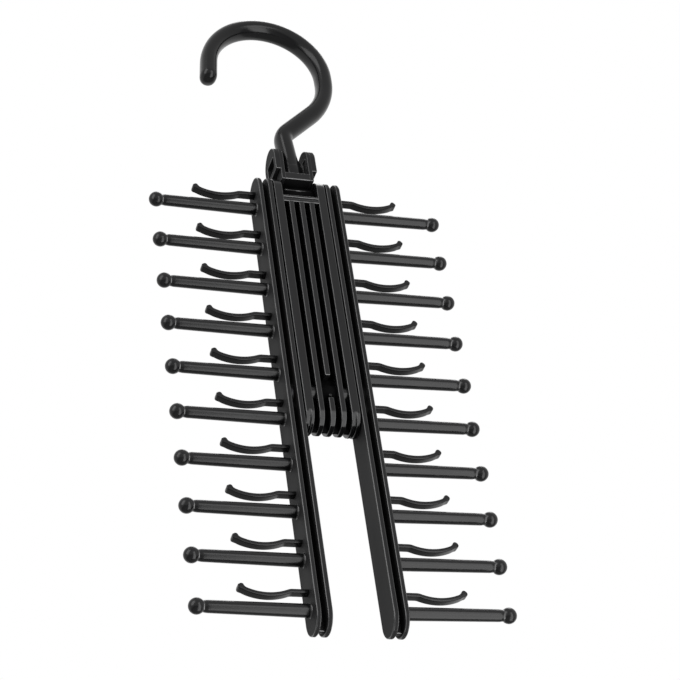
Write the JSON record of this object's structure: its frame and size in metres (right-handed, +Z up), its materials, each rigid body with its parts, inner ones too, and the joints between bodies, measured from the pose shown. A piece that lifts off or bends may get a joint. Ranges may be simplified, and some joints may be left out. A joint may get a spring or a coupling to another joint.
{
  "type": "tie hanger",
  "caption": "Hanging rack for ties: swivel hook, tilting ribbed spine and two pivoting arms of ball-ended pegs with spring strips.",
  "frame": {"origin": "the rail seat, the inside top of the hook's crook, straight above the hook's swivel axis", "axes": "+Z up along the swivel axis, +X to the viewer's right along the pegs, +Y to the back"},
  "size_m": [0.1572, 0.0176, 0.3808],
  "materials": {
    "hook_plastic": "glossy black moulded plastic",
    "body_plastic": "glossy black moulded plastic",
    "pin_steel": "drawn steel pin",
    "ring_steel": "stamped spring steel"
  },
  "bodies": {
    "hook": {"hook": "hook_plastic"},
    "holder": {"hook_holder": "body_plastic"},
    "spine": {"spine": "body_plastic", "tilt_pin": "pin_steel", "pivot_axle": "pin_steel", "ring_left": "ring_steel", "ring_right": "ring_steel"},
    "arm_left": {"arm_left": "body_plastic", "peg_left_1": "body_plastic", "peg_left_2": "body_plastic", "peg_left_3": "body_plastic", "peg_left_4": "body_plastic", "peg_left_5": "body_plastic", "peg_left_6": "body_plastic", "peg_left_7": "body_plastic", "peg_left_8": "body_plastic", "peg_left_9": "body_plastic", "peg_left_10": "body_plastic"},
    "arm_right": {"arm_right": "body_plastic", "peg_right_1": "body_plastic", "peg_right_2": "body_plastic", "peg_right_3": "body_plastic", "peg_right_4": "body_plastic", "peg_right_5": "body_plastic", "peg_right_6": "body_plastic", "peg_right_7": "body_plastic", "peg_right_8": "body_plastic", "peg_right_9": "body_plastic", "peg_right_10": "body_plastic"},
    "strip_left_1": {"strip_left_1": "body_plastic"},
    "strip_right_1": {"strip_right_1": "body_plastic"},
    "strip_left_2": {"strip_left_2": "body_plastic"},
    "strip_right_2": {"strip_right_2": "body_plastic"},
    "strip_left_3": {"strip_left_3": "body_plastic"},
    "strip_right_3": {"strip_right_3": "body_plastic"},
    "strip_left_4": {"strip_left_4": "body_plastic"},
    "strip_right_4": {"strip_right_4": "body_plastic"},
    "strip_left_5": {"strip_left_5": "body_plastic"},
    "strip_right_5": {"strip_right_5": "body_plastic"},
    "strip_left_6": {"strip_left_6": "body_plastic"},
    "strip_right_6": {"strip_right_6": "body_plastic"},
    "strip_left_7": {"strip_left_7": "body_plastic"},
    "strip_right_7": {"strip_right_7": "body_plastic"},
    "strip_left_8": {"strip_left_8": "body_plastic"},
    "strip_right_8": {"strip_right_8": "body_plastic"},
    "strip_left_9": {"strip_left_9": "body_plastic"},
    "strip_right_9": {"strip_right_9": "body_plastic"},
    "strip_left_10": {"strip_left_10": "body_plastic"},
    "strip_right_10": {"strip_right_10": "body_plastic"}
  },
  "joints": [
    {"name": "hook_swivel", "type": "hinge", "parent": "hook", "child": "holder", "pos_m": [0, 0, -0.10626], "axis": [0, 0, 1], "continuous": true},
    {"name": "spine_tilt", "type": "hinge", "parent": "holder", "child": "spine", "pos_m": [0, 0, -0.11486], "axis": [1, 0, 0], "range_deg": [-60, 60]},
    {"name": "arm_left_turn", "type": "hinge", "parent": "spine", "child": "arm_left", "pos_m": [0, 0, -0.24126], "axis": [1, 0, 0], "range_deg": [0, 45]},
    {"name": "arm_right_turn", "type": "hinge", "parent": "spine", "child": "arm_right", "pos_m": [0, 0, -0.24126], "axis": [-1, 0, 0], "range_deg": [0, 45]},
    {"name": "strip_left_1_flex", "type": "hinge", "parent": "arm_left", "child": "strip_left_1", "pos_m": [-0.0221, 0, -0.11497], "axis": [0, 1, 0], "range_deg": [0, 5], "stiffness_Nm_per_rad": 0.1},
    {"name": "strip_right_1_flex", "type": "hinge", "parent": "arm_right", "child": "strip_right_1", "pos_m": [0.0221, 0, -0.11497], "axis": [0, -1, 0], "range_deg": [0, 5], "stiffness_Nm_per_rad": 0.1},
    {"name": "strip_left_2_flex", "type": "hinge", "parent": "arm_left", "child": "strip_left_2", "pos_m": [-0.0221, 0, -0.14097], "axis": [0, 1, 0], "range_deg": [0, 5], "stiffness_Nm_per_rad": 0.1},
    {"name": "strip_right_2_flex", "type": "hinge", "parent": "arm_right", "child": "strip_right_2", "pos_m": [0.0221, 0, -0.14097], "axis": [0, -1, 0], "range_deg": [0, 5], "stiffness_Nm_per_rad": 0.1},
    {"name": "strip_left_3_flex", "type": "hinge", "parent": "arm_left", "child": "strip_left_3", "pos_m": [-0.0221, 0, -0.16697], "axis": [0, 1, 0], "range_deg": [0, 5], "stiffness_Nm_per_rad": 0.1},
    {"name": "strip_right_3_flex", "type": "hinge", "parent": "arm_right", "child": "strip_right_3", "pos_m": [0.0221, 0, -0.16697], "axis": [0, -1, 0], "range_deg": [0, 5], "stiffness_Nm_per_rad": 0.1},
    {"name": "strip_left_4_flex", "type": "hinge", "parent": "arm_left", "child": "strip_left_4", "pos_m": [-0.0221, 0, -0.19297], "axis": [0, 1, 0], "range_deg": [0, 5], "stiffness_Nm_per_rad": 0.1},
    {"name": "strip_right_4_flex", "type": "hinge", "parent": "arm_right", "child": "strip_right_4", "pos_m": [0.0221, 0, -0.19297], "axis": [0, -1, 0], "range_deg": [0, 5], "stiffness_Nm_per_rad": 0.1},
    {"name": "strip_left_5_flex", "type": "hinge", "parent": "arm_left", "child": "strip_left_5", "pos_m": [-0.0221, 0, -0.21897], "axis": [0, 1, 0], "range_deg": [0, 5], "stiffness_Nm_per_rad": 0.1},
    {"name": "strip_right_5_flex", "type": "hinge", "parent": "arm_right", "child": "strip_right_5", "pos_m": [0.0221, 0, -0.21897], "axis": [0, -1, 0], "range_deg": [0, 5], "stiffness_Nm_per_rad": 0.1},
    {"name": "strip_left_6_flex", "type": "hinge", "parent": "arm_left", "child": "strip_left_6", "pos_m": [-0.0221, 0, -0.24497], "axis": [0, 1, 0], "range_deg": [0, 5], "stiffness_Nm_per_rad": 0.1},
    {"name": "strip_right_6_flex", "type": "hinge", "parent": "arm_right", "child": "strip_right_6", "pos_m": [0.0221, 0, -0.24497], "axis": [0, -1, 0], "range_deg": [0, 5], "stiffness_Nm_per_rad": 0.1},
    {"name": "strip_left_7_flex", "type": "hinge", "parent": "arm_left", "child": "strip_left_7", "pos_m": [-0.0221, 0, -0.27097], "axis": [0, 1, 0], "range_deg": [0, 5], "stiffness_Nm_per_rad": 0.1},
    {"name": "strip_right_7_flex", "type": "hinge", "parent": "arm_right", "child": "strip_right_7", "pos_m": [0.0221, 0, -0.27097], "axis": [0, -1, 0], "range_deg": [0, 5], "stiffness_Nm_per_rad": 0.1},
    {"name": "strip_left_8_flex", "type": "hinge", "parent": "arm_left", "child": "strip_left_8", "pos_m": [-0.0221, 0, -0.29697], "axis": [0, 1, 0], "range_deg": [0, 5], "stiffness_Nm_per_rad": 0.1},
    {"name": "strip_right_8_flex", "type": "hinge", "parent": "arm_right", "child": "strip_right_8", "pos_m": [0.0221, 0, -0.29697], "axis": [0, -1, 0], "range_deg": [0, 5], "stiffness_Nm_per_rad": 0.1},
    {"name": "strip_left_9_flex", "type": "hinge", "parent": "arm_left", "child": "strip_left_9", "pos_m": [-0.0221, 0, -0.32297], "axis": [0, 1, 0], "range_deg": [0, 5], "stiffness_Nm_per_rad": 0.1},
    {"name": "strip_right_9_flex", "type": "hinge", "parent": "arm_right", "child": "strip_right_9", "pos_m": [0.0221, 0, -0.32297], "axis": [0, -1, 0], "range_deg": [0, 5], "stiffness_Nm_per_rad": 0.1},
    {"name": "strip_left_10_flex", "type": "hinge", "parent": "arm_left", "child": "strip_left_10", "pos_m": [-0.0221, 0, -0.34897], "axis": [0, 1, 0], "range_deg": [0, 5], "stiffness_Nm_per_rad": 0.1},
    {"name": "strip_right_10_flex", "type": "hinge", "parent": "arm_right", "child": "strip_right_10", "pos_m": [0.0221, 0, -0.34897], "axis": [0, -1, 0], "range_deg": [0, 5], "stiffness_Nm_per_rad": 0.1}
  ]
}
